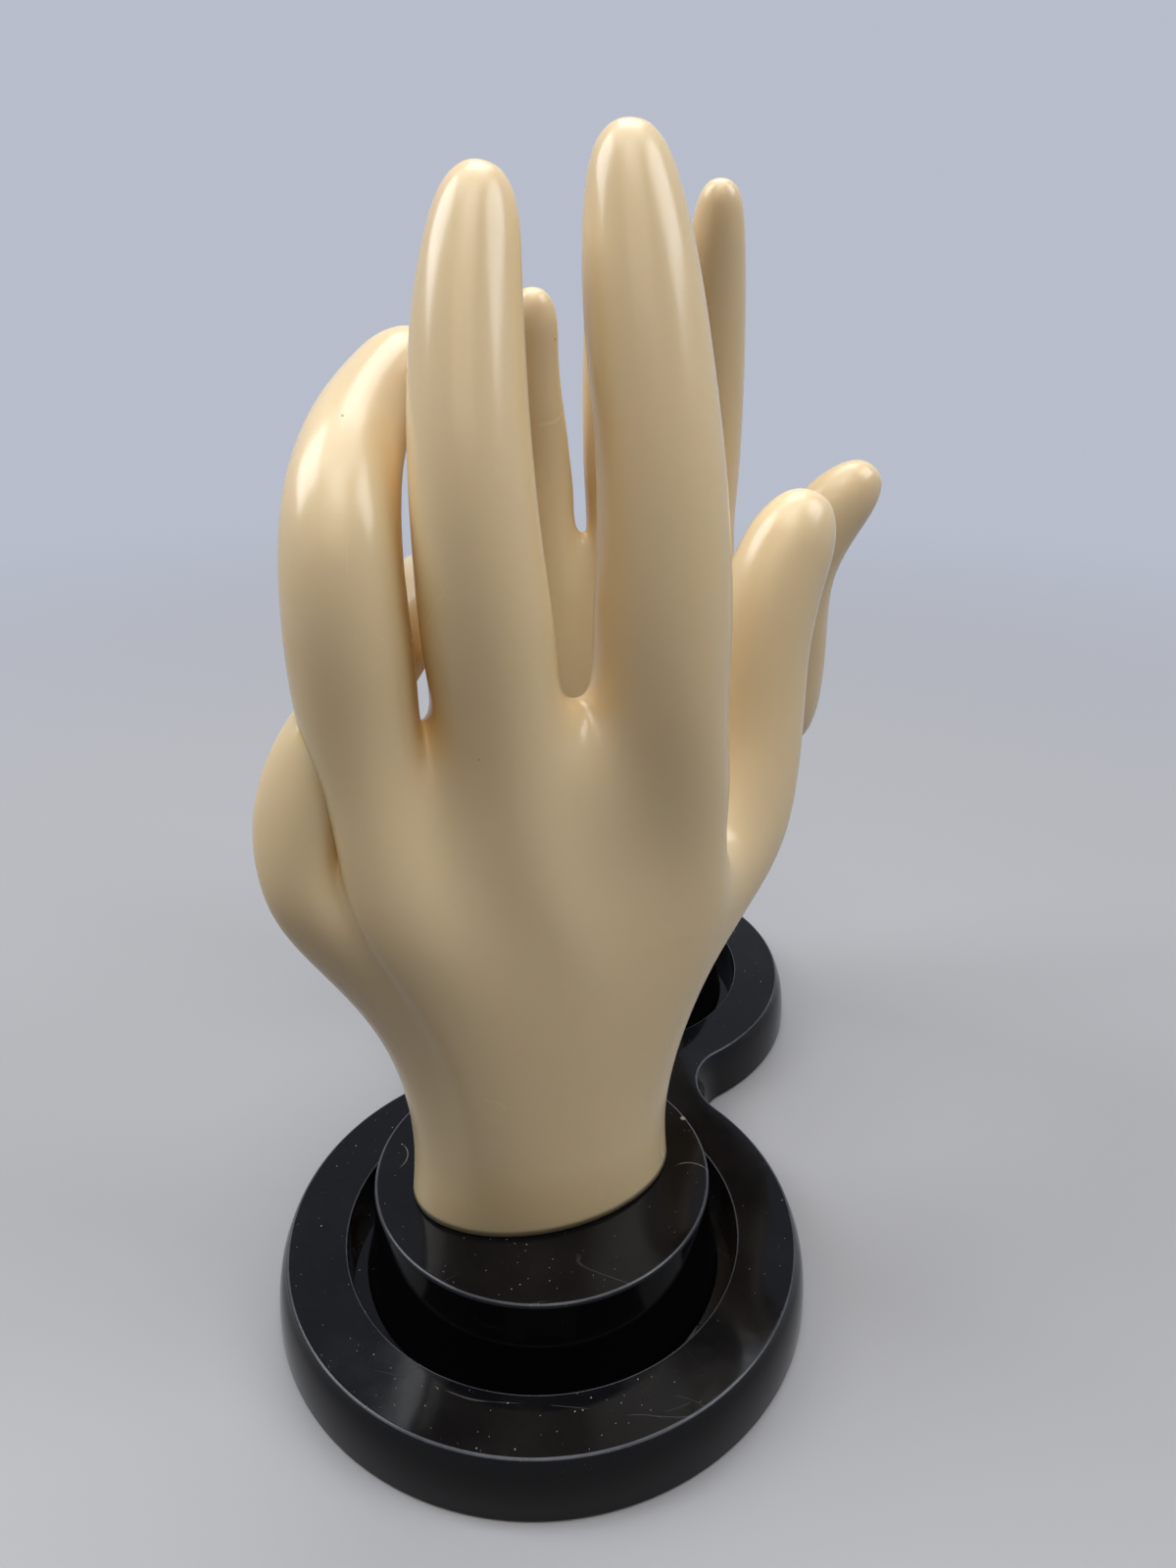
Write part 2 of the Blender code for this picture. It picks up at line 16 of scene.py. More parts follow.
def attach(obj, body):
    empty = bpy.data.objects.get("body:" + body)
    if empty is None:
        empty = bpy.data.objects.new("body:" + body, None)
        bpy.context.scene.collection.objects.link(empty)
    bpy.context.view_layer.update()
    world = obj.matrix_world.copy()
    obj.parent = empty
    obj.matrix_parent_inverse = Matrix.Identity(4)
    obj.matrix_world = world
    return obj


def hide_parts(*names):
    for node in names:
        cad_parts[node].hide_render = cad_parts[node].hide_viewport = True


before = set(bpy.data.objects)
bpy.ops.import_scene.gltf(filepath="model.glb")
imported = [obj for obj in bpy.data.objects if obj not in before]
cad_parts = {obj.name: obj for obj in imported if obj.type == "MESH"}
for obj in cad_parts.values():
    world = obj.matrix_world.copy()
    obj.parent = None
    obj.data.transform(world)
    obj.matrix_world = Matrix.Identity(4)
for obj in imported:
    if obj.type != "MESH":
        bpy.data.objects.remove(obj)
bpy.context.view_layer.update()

MM = 0.001

# Base: plan of the two discs, worked out from their wells
WELL_RADIUS = 44.2 * MM
RIM_WIDTH = 15.8 * MM
DISC_RADIUS = WELL_RADIUS + RIM_WIDTH
WELL_LAND = 18.6 * MM
DISC_SPACING = 2 * WELL_RADIUS + WELL_LAND
WAIST_FILLET = 13 * MM

# Base: skirt and rim
RIM_HEIGHT = 13.9 * MM
RIM_SIDE_DRAW = 2.4 * MM
RIM_EDGE_ROUND = 0.9 * MM
FOOT_EDGE_ROUND = 0.6 * MM
SKIRT_FULLNESS = 0.92
BASE_WALL = 2.6 * MM
WAIST_RIB_THICKNESS = 3.0 * MM

# Base: wells and plinths
WELL_FLOOR = 6.0 * MM
WELL_LIP_CHAMFER = 0.5 * MM
WELL_GAP = 3.8 * MM
PLINTH_FOOT_RADIUS = WELL_RADIUS - WELL_GAP
PLINTH_FLARE = 3.2 * MM
PLINTH_TOP_RADIUS = PLINTH_FOOT_RADIUS - PLINTH_FLARE
PLINTH_HEIGHT = 29.4 * MM
PLINTH_EDGE_ROUND = 0.8 * MM

# Fixing of each hand: one screw and washer from below, through a boss under the plinth
FIT_GAP = 0.3 * MM
SCREW_RADIUS = 2.0 * MM
BOSS_RADIUS = 7.0 * MM
BOSS_DEPTH = 9.0 * MM

# Sections of a hand from the foot up to the knuckles, in the hand's own frame: height above the
# foot, reach to the little finger side, to the thumb side, to the back and to the palm, depth of
# the valleys between the tendons and of the hollow of the palm
Section = namedtuple("Section", "height little_side thumb_side back palm valley hollow")
PALM_SECTIONS = (
    Section(0 * MM, 29.3 * MM, 29.3 * MM, 19.4 * MM, 19.4 * MM, 0 * MM, 0 * MM),
    Section(12 * MM, 27.8 * MM, 28.0 * MM, 18.2 * MM, 18.4 * MM, 0 * MM, 0 * MM),
    Section(28 * MM, 28.8 * MM, 30.5 * MM, 16.8 * MM, 18.5 * MM, 0 * MM, 0 * MM),
    Section(46 * MM, 33.2 * MM, 37.0 * MM, 15.6 * MM, 19.0 * MM, 0 * MM, 2.0 * MM),
    Section(62 * MM, 41.8 * MM, 42.0 * MM, 15.0 * MM, 18.0 * MM, 0.6 * MM, 4.5 * MM),
    Section(78 * MM, 52.4 * MM, 43.0 * MM, 14.6 * MM, 15.0 * MM, 2.2 * MM, 3.0 * MM),
)
PALM_SQUARENESS = 0.8
KNUCKLE_ARCH = 4 * MM
PALM_SETBACK = 6 * MM
WEB_SLOPE = 6 * MM
CORNER_SHARE = 0.72

# A finger: root centre (across, towards the palm, up), bone lengths, degrees of spread towards the
# thumb and of bend towards the palm of each bone, widths at the root, both joints and the tip, and
# depth as a share of width
Finger = namedtuple("Finger", "root bones spread bends widths depth")
LITTLE = Finger((-44.6 * MM, 4.5 * MM, 94 * MM), (31 * MM, 23 * MM, 20 * MM), (40.5, 63, 87),
                (18.4, 54.5, 74.5), (19.4 * MM, 15 * MM, 15.4 * MM, 13 * MM), 0.92)
RING = Finger((-31.5 * MM, 4.6 * MM, 108 * MM), (35.1 * MM, 27.2 * MM, 24.9 * MM),
              (0.3, 29.5, 56), (10.7, 48, 39),
              (23 * MM, 21.1 * MM, 17.2 * MM, 15.6 * MM), 0.92)
MIDDLE = Finger((-6.9 * MM, 1.9 * MM, 112 * MM), (33.1 * MM, 32.8 * MM, 25.7 * MM),
                (-3.8, 5.2, 13.8), (6.2, 19.8, 20.5),
                (25 * MM, 22 * MM, 19.5 * MM, 13.6 * MM), 0.92)
INDEX = Finger((25.7 * MM, 2.1 * MM, 110 * MM), (35.9 * MM, 35.9 * MM, 27.9 * MM),
               (1.7, -1.7, -0.8), (7.4, 16.9, 17.4),
               (28 * MM, 23.9 * MM, 22.1 * MM, 14.4 * MM), 0.92)
THUMB = Finger((42.8 * MM, 14.9 * MM, 58 * MM), (26.5 * MM, 34 * MM, 30 * MM),
               (30.4, 6.9, 25.6), (13.9, 9.7, 7.2),
               (30 * MM, 23.2 * MM, 22.7 * MM, 17.1 * MM), 0.88)
JOINT_SHARES = (0, 0.42, 0.72, 1)

# Each hand: degrees of turn on its plinth, how far its knuckles lie below its finger roots, its
# palm, its fingers from the little finger to the index finger, and its thumb. The fingers of the
# right hand stand closer together and part higher up, so its palm is narrower at the knuckles.
Hand = namedtuple("Hand", "name turn mirrored knuckle_setback palm fingers thumb")
LEFT_HAND = Hand("left_hand", 25.8, False, 6 * MM, PALM_SECTIONS,
                 (LITTLE, RING, MIDDLE, INDEX), THUMB)
RIGHT_PALM = PALM_SECTIONS[:-2] + (PALM_SECTIONS[-2]._replace(little_side=39.5 * MM),
                                   PALM_SECTIONS[-1]._replace(little_side=46.5 * MM))
RIGHT_LITTLE = LITTLE._replace(
    root=(-37 * MM, 5 * MM, 100 * MM), bones=(22 * MM, 20 * MM, 18 * MM),
    spread=(-6, -1, 6), bends=(12, 24, 26),
    widths=(18 * MM, 16 * MM, 14 * MM, 11 * MM))
RIGHT_RING = RING._replace(
    root=(-16.3 * MM, 2.5 * MM, 124 * MM), bones=(17.4 * MM, 21.3 * MM, 19.3 * MM),
    spread=(-6.5, -6.7, 4.7), bends=(6.8, 18.1, 18.9),
    widths=(19.6 * MM, 18.4 * MM, 15.3 * MM, 10.5 * MM))
RIGHT_MIDDLE = MIDDLE._replace(
    root=(6.3 * MM, 1.8 * MM, 124 * MM), bones=(24 * MM, 30 * MM, 26 * MM),
    spread=(-4.4, -3.3, 0.3), bends=(3.3, 11.1, 18.1),
    widths=(20 * MM, 18.6 * MM, 17 * MM, 12 * MM))
RIGHT_INDEX = INDEX._replace(
    root=(27.2 * MM, 0.5 * MM, 122 * MM), bones=(24 * MM, 32 * MM, 26 * MM),
    spread=(0.3, -2, -3.3), bends=(6.4, 10.3, 12.6),
    widths=(21 * MM, 19 * MM, 15.6 * MM, 10.5 * MM))
RIGHT_THUMB = THUMB._replace(
    root=(41.2 * MM, 14.9 * MM, 58 * MM), bones=(26.2 * MM, 33.7 * MM, 29.7 * MM),
    spread=(17.1, -3, 38), bends=(11.4, 7.4, 2.4),
    widths=(28 * MM, 19.8 * MM, 21 * MM, 14.6 * MM))
RIGHT_HAND = Hand("right_hand", 18.8, True, 18 * MM, RIGHT_PALM,
                  (RIGHT_LITTLE, RIGHT_RING, RIGHT_MIDDLE, RIGHT_INDEX), RIGHT_THUMB)

# Control rings of a finger: shares of its length, then lengths of the rounded tip back from its end
FINGER_SHARES = (0.10, 0.24, 0.40, 0.56, 0.72, 0.84)
TIP_BACK_SHARES = (1.0, 0.5, 0.14)
TIP_LENGTH_SHARE = 0.62
THUMB_ROOT_INDEX = 3
RING_TURNS = tuple(radians(-135 + 45 * corner) for corner in range(8))

# A regular ring of eight control points pulls in to this share of its radius when subdivided
RING_PULL = (2 + cos(pi / 4)) / 3

# Fineness of the curves
ROUND_SEGMENTS = 160
SMALL_SEGMENTS = 32
ARC_STEPS = 6
SKIRT_STEPS = 12
WALL_STEPS = 10
HAND_SHAPE_STEPS = 2
HAND_RENDER_STEPS = 1
SMOOTH_ANGLE = radians(28)
CUTTER_REACH = 5 * MM
WELL_LIP_END = 0.55 * pi

# Uneven skin of the moulded hands: wave length and height
SKIN_WAVE = 17 * MM
SKIN_STRETCH = 3
SKIN_HEIGHT = 0.16 * MM

# Shade between the fingers: reach, start and number of the rays that look for it
SHADE_REACH = 22 * MM
SHADE_START = 0.6 * MM
SHADE_RAYS = 28
GOLDEN_TURN = pi * (3 - sqrt(5))

# Colours, linear
IVORY = (0.810, 0.645, 0.395, 1)
IVORY_WARM = (0.790, 0.605, 0.335, 1)
# Amber: colour of the painted shade and yellowing between the fingers, and of some specks
AMBER = (0.860, 0.590, 0.240, 1)
SPECK_BROWN = (0.10, 0.060, 0.030, 1)
STAIN = (0.700, 0.520, 0.220, 1)
SCRATCH_PALE = (0.90, 0.84, 0.70, 1)
GLOSS_BLACK = (0.0032, 0.0032, 0.0040, 1)
DUST_GREY = (0.34, 0.33, 0.31, 1)
# Paler black of the rounded edges: a painted highlight, with some wear
WORN_EDGE_AND_HIGHLIGHT = (0.085, 0.090, 0.105, 1)
ZINC = (0.56, 0.56, 0.55, 1)
ZINC_DULL = (0.40, 0.41, 0.42, 1)

# Floor as it is seen and as it lights the object, and background
FLOOR_GREY = (0.35, 0.352, 0.37, 1)
FLOOR_BOUNCE = (0.10, 0.095, 0.088, 1)
BACKGROUND = (0.48, 0.51, 0.60, 1)

# Patterns of the finishes: round specks in a share of the cells of a pattern, thin lines along a
# level of a noise that a second noise breaks up, and a fibre, an arc round a centre near a place
Specks = namedtuple("Specks", "scale radius share")
Lines = namedtuple("Lines", "scale level width breaks rarity")
Fibre = namedtuple("Fibre", "center radius place reach")
LINE_WAVER = 0.3
BREAK_SOFTNESS = 0.08
NOISE_MIDDLE = (0.3, 0.7)

# Ivory plastic: clouds, painted amber shade and yellowing in the creases, stains, scratches and
# specks
CLOUD_SCALE = 18
CLOUD_RANGE = (0.35, 0.75)
CLOUD_STRENGTH = 0.35
SHADE_UNEVEN = 0.04
SHADE_RANGE = (0.14, 0.74)
SHADE_STRENGTH = 0.75
STAIN_SCALE = 45
STAIN_RANGE = (0.62, 0.82)
STAIN_STRENGTH = 0.32
IVORY_SCRATCHES = (Lines(28, 0.50, 0.0018, 45, 0.64), Lines(41, 0.44, 0.0018, 60, 0.66))
IVORY_SCRATCH_STRENGTH = 0.16
BROWN_SPECKS, BROWN_SPECK_STRENGTH = Specks(240, 0.34 * MM, 0.07), 0.8
AMBER_SPECKS, AMBER_SPECK_STRENGTH = Specks(420, 0.2 * MM, 0.12), 0.5
IVORY_ROUGHNESS = (0.20, 0.25)
IVORY_ROUGHNESS_SCALE = 90
IVORY_SCRATCH_ROUGHNESS = 0.15
WRINKLE_SCALES = (330, 330, 1000)
WRINKLE_WAVER = 0.5
WRINKLE_HEIGHT = 0.004 * MM
WAVE_SCALE = 80
WAVE_HEIGHT = 0.02 * MM
IVORY_SCRATCH_DEPTH = 0.004 * MM
GLOW_SHARE = 0.3
GLOW_REACH = 6 * MM
GLOW_SPREAD = (1.0, 0.6, 0.3)

# Glossy black plastic: how far a top and an edge band (painted highlight, some wear) face up, and
# the film of dirt
TOP_FACING = (0.3, 0.9)
EDGE_FACING_FROM = (0.58, 0.80)
EDGE_FACING_TO = (0.995, 0.96)
# How strongly the edge band is painted pale: a painted highlight, with some wear
EDGE_WEAR_AND_HIGHLIGHT = (0.5, 1.0)
FILM_SCALE = 60
FILM_DETAIL = 6
FILM_GRAIN = 0.7
HAZE_RANGE = (0.42, 0.78)
HAZE_STRENGTH = 0.012
GLOSS_SPECULAR = 0.2
GLOSS_ROUGHNESS = (0.06, 0.13)
GLOSS_ROUGHNESS_RANGE = (0.3, 0.8)
DUST_ROUGHNESS = 0.8
GLOSS_WAVE_SCALE = 90
GLOSS_WAVE_HEIGHT = 0.02 * MM

# Scratches and dust on the base, in its own frame, most of them on the front
SCUFF_PLACE = (6 * MM, -105 * MM, RIM_HEIGHT)
SCUFF_REACH = 42 * MM
GLOSS_SCRATCHES = (Lines(40, 0.50, 0.0020, 60, 0.58), Lines(62, 0.45, 0.0022, 75, 0.58))
STREAKS = Lines(110, 0.48, 0.0036, 70, 0.46)
STREAK_STRETCH = (0.16, 1, 1)
STREAK_TURN = (0, 0, radians(14))
HAIRS, HAIR_STRENGTH = Lines(30, 0.52, 0.0017, 50, 0.60), 0.3
MARK_STRENGTH = 0.15
MARK_DEPTH = 0.015 * MM
DUST_SPECKS = (Specks(420, 0.22 * MM, 0.14), Specks(900, 0.11 * MM, 0.25))
CRUMBS = Specks(700, 0.2 * MM, 0.3)
DUST_STRENGTH = 0.7

# Dirt on top of the front plinth
FLECK_PLACE = (30.8 * MM, -34.1 * MM, PLINTH_HEIGHT)
FLECK_SIZE = 0.9 * MM
FIBRE_THICKNESS = 0.09 * MM
FIBRES = (
    Fibre((33.0 * MM, -53.4 * MM, PLINTH_HEIGHT), 4.9 * MM,
          (33.8 * MM, -48.6 * MM, PLINTH_HEIGHT), 5.0 * MM),
    Fibre((-36.2 * MM, -54.9 * MM, PLINTH_HEIGHT), 5.4 * MM,
          (-31.2 * MM, -54.0 * MM, PLINTH_HEIGHT), 4.5 * MM),
)

# Sockets of the Mix node that carry its two colours and its result
MIX_FIRST, MIX_SECOND, MIX_RESULT = 6, 7, 2

# Zinc plating: dull bloom and turning marks
BLOOM_SCALE = 900
BLOOM_DETAIL = 4
BLOOM_GRAIN = 0.65
BLOOM_RANGE = (0.4, 0.7)
ZINC_ROUGHNESS = (0.28, 0.5)
TURNING_SCALES = (700, 700, 9000)
TURNING_HEIGHT = 0.02 * MM

# Camera of the photograph, and how near it sees
CAMERA_PLACE = (30.58 * MM, -239.73 * MM, 209.75 * MM)
CAMERA_AIM = (-0.10141, 0.90407, -0.41516)
CAMERA_ROLL = radians(0.37)
SENSOR_SIZE = 36
CAMERA_LENS = 25.19
CAMERA_NEAR = 10 * MM

# Floor and where it fades out, fill from the world, and soft studio lights all round
FLOOR_SIZE = 6
FLOOR_ROUGHNESS = 0.55
FLOOR_FADE = (0.20, 0.90)
WORLD_FILL = 0.09
LIGHT_TARGET = (0, 0, 0.12)
Light = namedtuple("Light", "name place size watts color")
COOL, WARM = (0.97, 0.985, 1.0), (1.0, 0.85, 0.66)
LIGHTS = (
    Light("sky_panel", (-0.10, 0.10, 1.50), 1.2, 9, COOL),
    Light("highlight_panel", (0.12, -0.45, 1.25), 0.4, 1.0, COOL),
    Light("front_fill", (0.1, -0.90, 1.30), 0.9, 3.2, WARM),
    Light("left_panel", (-0.90, 0.0, 1.10), 0.7, 10, COOL),
    Light("right_panel", (0.90, 0.0, 1.10), 0.7, 8, COOL),
    Light("back_panel", (0.0, 0.55, 1.35), 0.7, 5, COOL),
)


def bridge(built, lower, upper, left_open=()):
    """Join two closed loops of vertices by quads, apart from the ones left open."""
    for index in range(len(lower)):
        if index not in left_open:
            following = (index + 1) % len(lower)
            built.faces.new((lower[index], lower[following], upper[following], upper[index]))


def loft(rings):
    """Bridge closed rings of points of equal length and close both ends."""
    built = bmesh.new()
    loops = [[built.verts.new(point) for point in ring] for ring in rings]
    for lower, upper in zip(loops, loops[1:]):
        bridge(built, lower, upper)
    built.faces.new(list(reversed(loops[0])))
    built.faces.new(loops[-1])
    return built


def turned(profile, centers, segments=ROUND_SEGMENTS):
    """Turn (radius, height) points about the vertical through each centre, with flat ends."""
    built = bmesh.new()
    turns = [2 * pi * step / segments for step in range(segments)]
    for center in centers:
        loops = [[built.verts.new(center + Vector((radius * cos(turn), radius * sin(turn), height)))
                  for turn in turns] for radius, height in profile]
        for lower, upper in zip(loops, loops[1:]):
            bridge(built, lower, upper)
        built.faces.new(loops[0][::-1])
        built.faces.new(loops[-1])
    return built


def arc(center, radius, start, end):
    """Points on an arc in the (radius, height) plane."""
    turns = [start + (end - start) * step / ARC_STEPS for step in range(ARC_STEPS + 1)]
    return [(center[0] + radius * cos(turn), center[1] + radius * sin(turn)) for turn in turns]


def figure_eight(inset, height):
    """Outline of the base at an inset from its widest line: two arcs joined by waist fillets."""
    radius = DISC_RADIUS - inset
    fillet = WAIST_FILLET + inset
    half = DISC_SPACING / 2
    reach = sqrt((radius + fillet) ** 2 - half ** 2)
    waist_turn = acos(half / (radius + fillet))
    waist_steps = ROUND_SEGMENTS // 8
    disc_steps = ROUND_SEGMENTS - 2 * waist_steps
    points = []
    for side in (1, -1):
        start = waist_turn - pi / 2 + (0 if side > 0 else pi)
        for step in range(disc_steps):
            angle = start + (2 * pi - 2 * waist_turn) * step / disc_steps
            points.append((radius * cos(angle), side * half + radius * sin(angle), height))
        for step in range(waist_steps):
            angle = pi / 2 - waist_turn - (pi - 2 * waist_turn) * step / waist_steps
            points.append((side * (fillet * cos(angle) - reach),
                           side * fillet * sin(angle), height))
    return points


def skirt_draw(rise):
    """Inset of the bulging skirt at a share of its height."""
    bulge = 1 - sqrt(1 - (SKIRT_FULLNESS * rise) ** 2)
    return RIM_SIDE_DRAW * bulge / (1 - sqrt(1 - SKIRT_FULLNESS ** 2))


def skirt_profile():
    """Inset and height of the skirt, from the table up to the flat top of the rim."""
    low, top = FOOT_EDGE_ROUND, RIM_HEIGHT - RIM_EDGE_ROUND
    profile = [(FOOT_EDGE_ROUND, 0)]
    for step in range(SKIRT_STEPS + 1):
        rise = step / SKIRT_STEPS
        profile.append((skirt_draw(rise), low + (top - low) * rise))
    for step in range(1, ARC_STEPS + 1):
        turn = pi / 2 * step / ARC_STEPS
        profile.append((RIM_SIDE_DRAW + RIM_EDGE_ROUND * (1 - cos(turn)),
                        top + RIM_EDGE_ROUND * sin(turn)))
    return profile


def plinth_radius_at(height):
    """Radius of the plinth's flared wall at a height."""
    share = (PLINTH_HEIGHT - height) / (PLINTH_HEIGHT - WELL_FLOOR)
    return PLINTH_TOP_RADIUS + PLINTH_FLARE * share ** 2


def plinth_wall(low, high):
    """Points up the plinth's flared wall between two heights."""
    heights = [low + (high - low) * step / WALL_STEPS for step in range(WALL_STEPS + 1)]
    return [(plinth_radius_at(height), height) for height in heights]


def plinth_profile():
    """Section of a solid plinth, rooted in the floor of its well, with a rounded top edge."""
    wall_top = PLINTH_HEIGHT - PLINTH_EDGE_ROUND
    top_radius = plinth_radius_at(wall_top)
    edge = arc((top_radius - PLINTH_EDGE_ROUND, wall_top), PLINTH_EDGE_ROUND, 0, pi / 2)
    root = (PLINTH_FOOT_RADIUS, WELL_FLOOR - BASE_WALL / 2)
    return [root] + plinth_wall(WELL_FLOOR, wall_top) + edge[1:]


def cavity_profile():
    """Section of the cut that hollows a plinth from below and leaves its boss."""
    roof = PLINTH_HEIGHT - BASE_WALL
    return [(PLINTH_FOOT_RADIUS - BASE_WALL, -CUTTER_REACH), (PLINTH_TOP_RADIUS - BASE_WALL, roof),
            (BOSS_RADIUS, roof), (BOSS_RADIUS, roof - BOSS_DEPTH)]


def disc_centers():
    """Foot of the axis of the left hand's plinth, then of the right hand's."""
    return Vector((0, -DISC_SPACING / 2, 0)), Vector((0, DISC_SPACING / 2, 0))


def block(size):
    """Box of a size, centred on its origin."""
    built = bmesh.new()
    bmesh.ops.create_cube(built, size=1)
    bmesh.ops.scale(built, vec=size, verts=built.verts)
    return built


def column_places(fingers):
    """Places across the hand of the three columns of control points of each finger."""
    return [finger.root[0] + side * finger.widths[0] / 2 * CORNER_SHARE
            for finger in fingers for side in (-1, 0, 1)]


def palm_ring(section, share, columns):
    """Control points round the hand at one level; share runs from the wrist to the knuckles."""
    count = 2 * (len(columns) + 1)
    middle = (section.thumb_side - section.little_side) / 2
    half = (section.thumb_side + section.little_side) / 2
    power = 2 / (2 + PALM_SQUARENESS * share)
    edge = cos(pi / (len(columns) + 1)) ** power
    ring = []
    for index in range(count):
        angle = pi + 2 * pi * index / count
        across = abs(cos(angle)) ** power * (1 if cos(angle) > 0 else -1)
        depth = abs(sin(angle)) ** power * (1 if sin(angle) > 0 else -1)
        on_back = index <= len(columns)
        column = index - 1 if on_back else count - index - 1
        place = middle + half * across
        lift = section.hollow * (across * across - 1) if depth > 0 else 0
        if 0 <= column < len(columns):
            spot = (columns[column] - columns[0]) / (columns[-1] - columns[0])
            wanted = middle + half * edge * (2 * spot - 1)
            place += (wanted - place) * share
            if on_back:
                lift = section.valley * (0 if column % 3 == 1 else 1)
        reach = section.palm if depth > 0 else section.back
        drop = KNUCKLE_ARCH * share ** 2 * max(0, -across)
        ring.append(Vector((place, depth * reach + lift, section.height - drop)))
    return ring


def bone_chain(finger):
    """Points at the root, the joints and the tip of a finger."""
    chain = [Vector(finger.root)]
    for bone, spread, bend in zip(finger.bones, finger.spread, finger.bends):
        spread, bend = radians(spread), radians(bend)
        aim = Vector((sin(spread) * cos(bend), sin(bend), cos(spread) * cos(bend)))
        chain.append(chain[-1] + bone * aim)
    return chain


def joint_slope(chain, joint):
    """Direction of the smooth curve through a chain at one of its points."""
    before, after = chain[max(joint - 1, 0)], chain[min(joint + 1, len(chain) - 1)]
    here = chain[joint]
    return (after - before) / ((here - before).length + (after - here).length)


def along(chain, share):
    """Point and direction at a share of the length of a smooth curve through a chain."""
    spans = [(after - before).length for before, after in zip(chain, chain[1:])]
    left = share * sum(spans)
    span = 0
    while span < len(spans) - 1 and left > spans[span]:
        left -= spans[span]
        span += 1
    t = left / spans[span]
    before, after = chain[span], chain[span + 1]
    enter = joint_slope(chain, span) * spans[span]
    leave = joint_slope(chain, span + 1) * spans[span]
    place = ((2 * t ** 3 - 3 * t ** 2 + 1) * before + (t ** 3 - 2 * t ** 2 + t) * enter
             + (-2 * t ** 3 + 3 * t ** 2) * after + (t ** 3 - t ** 2) * leave)
    slope = ((6 * t ** 2 - 6 * t) * before + (3 * t ** 2 - 4 * t + 1) * enter
             + (-6 * t ** 2 + 6 * t) * after + (3 * t ** 2 - 2 * t) * leave)
    return place, slope.normalized()


def width_at(finger, share):
    """Width of a finger at a share of its length, before its tip rounds off."""
    for joint, (near, far) in enumerate(zip(JOINT_SHARES, JOINT_SHARES[1:])):
        if share <= far:
            t = (share - near) / (far - near)
            blend = t * t * (3 - 2 * t)
            return finger.widths[joint] * (1 - blend) + finger.widths[joint + 1] * blend
    return finger.widths[-1]


def finger_stops(finger):
    """Shares of the length where a finger has control rings, and how round its tip is there."""
    tip = TIP_LENGTH_SHARE * finger.widths[-1] / sum(finger.bones)
    return [(share, 1) for share in FINGER_SHARES] + [
        (1 - back * tip, sqrt(1 - (1 - back) ** 2)) for back in TIP_BACK_SHARES]


def grow(built, root, finger, across, hand_side):
    """Bridge a root loop of eight vertices along a finger and close its rounded tip."""
    chain = bone_chain(finger)
    loop, side = root, across
    for share, rounding in finger_stops(finger):
        place, aim = along(chain, share)
        side = (side - aim * side.dot(aim)).normalized()
        palm = aim.cross(side) * hand_side
        half = width_at(finger, share) * rounding / 2 / RING_PULL
        grown = [built.verts.new(place + side * half * cos(turn)
                                 + palm * half * finger.depth * sin(turn)) for turn in RING_TURNS]
        bridge(built, loop, grown)
        loop = grown
    end = built.verts.new(along(chain, 1)[0])
    for corner in range(0, len(loop), 2):
        built.faces.new((loop[corner - 1], loop[corner], loop[corner + 1], end))


def finger_roots(built, fingers, knuckle_setback):
    """Rows of control points at the finger roots: back, middle and palm, three columns a finger."""
    back, middle, palm = [], [], []
    for finger in fingers:
        center = Vector(finger.root)
        half_width = finger.widths[0] / 2
        half_depth = half_width * finger.depth / RING_PULL
        for side in (-1, 0, 1):
            share = CORNER_SHARE if side else 1
            across = side * half_width * CORNER_SHARE
            slope = WEB_SLOPE * abs(side)
            on_back = Vector((across, -half_depth * share, -knuckle_setback - slope))
            on_palm = Vector((across, half_depth * share, -PALM_SETBACK))
            back.append(built.verts.new(center + on_back))
            palm.append(built.verts.new(center + on_palm))
            if side:
                middle.append(built.verts.new(center + Vector((side * half_width, 0, 0))))
    return back, middle, palm


def grow_fingers(built, hand, top_ring):
    """Close the hand above its top ring with the finger roots, the webs and the fingers."""
    fingers = hand.fingers
    back, middle, palm = finger_roots(built, fingers, hand.knuckle_setback)
    bridge(built, top_ring, [middle[0]] + back + [middle[-1]] + palm[::-1])
    for number, finger in enumerate(fingers):
        first, last = 3 * number, 3 * number + 2
        near, far = middle[2 * number], middle[2 * number + 1]
        root = back[first:last + 1] + [far] + palm[first:last + 1][::-1] + [near]
        grow(built, root, finger, Vector((1, 0, 0)), 1)
        if number + 1 < len(fingers):
            beyond = middle[2 * number + 2]
            built.faces.new((back[last], back[last + 1], beyond, far))
            built.faces.new((far, beyond, palm[last + 1], palm[last]))


def hand_cage(hand):
    """Control cage of a left hand, palm towards +Y and thumb towards +X, standing on z = 0."""
    built = bmesh.new()
    columns = column_places(hand.fingers)
    top = len(hand.palm) - 1
    levels = [[built.verts.new(point) for point in palm_ring(section, level / top, columns)]
              for level, section in enumerate(hand.palm)]
    side = len(columns) + 1
    for level in range(top):
        grows_thumb = THUMB_ROOT_INDEX <= level < THUMB_ROOT_INDEX + 2
        bridge(built, levels[level], levels[level + 1], (side - 1, side) if grows_thumb else ())
    foot = built.faces.new(levels[0][::-1])
    crease = built.edges.layers.float.new("crease_edge")
    for edge in foot.edges:
        edge[crease] = 1.0
    grow_fingers(built, hand, levels[top])
    low, mid, high = levels[THUMB_ROOT_INDEX:THUMB_ROOT_INDEX + 3]
    root = [low[side - 1], mid[side - 1], high[side - 1], high[side],
            high[side + 1], mid[side + 1], low[side + 1], low[side]]
    grow(built, root, hand.thumb, Vector((-1, 0, 0)), -1)
    if hand.mirrored:
        bmesh.ops.scale(built, vec=(1, -1, 1), verts=built.verts)
    return built


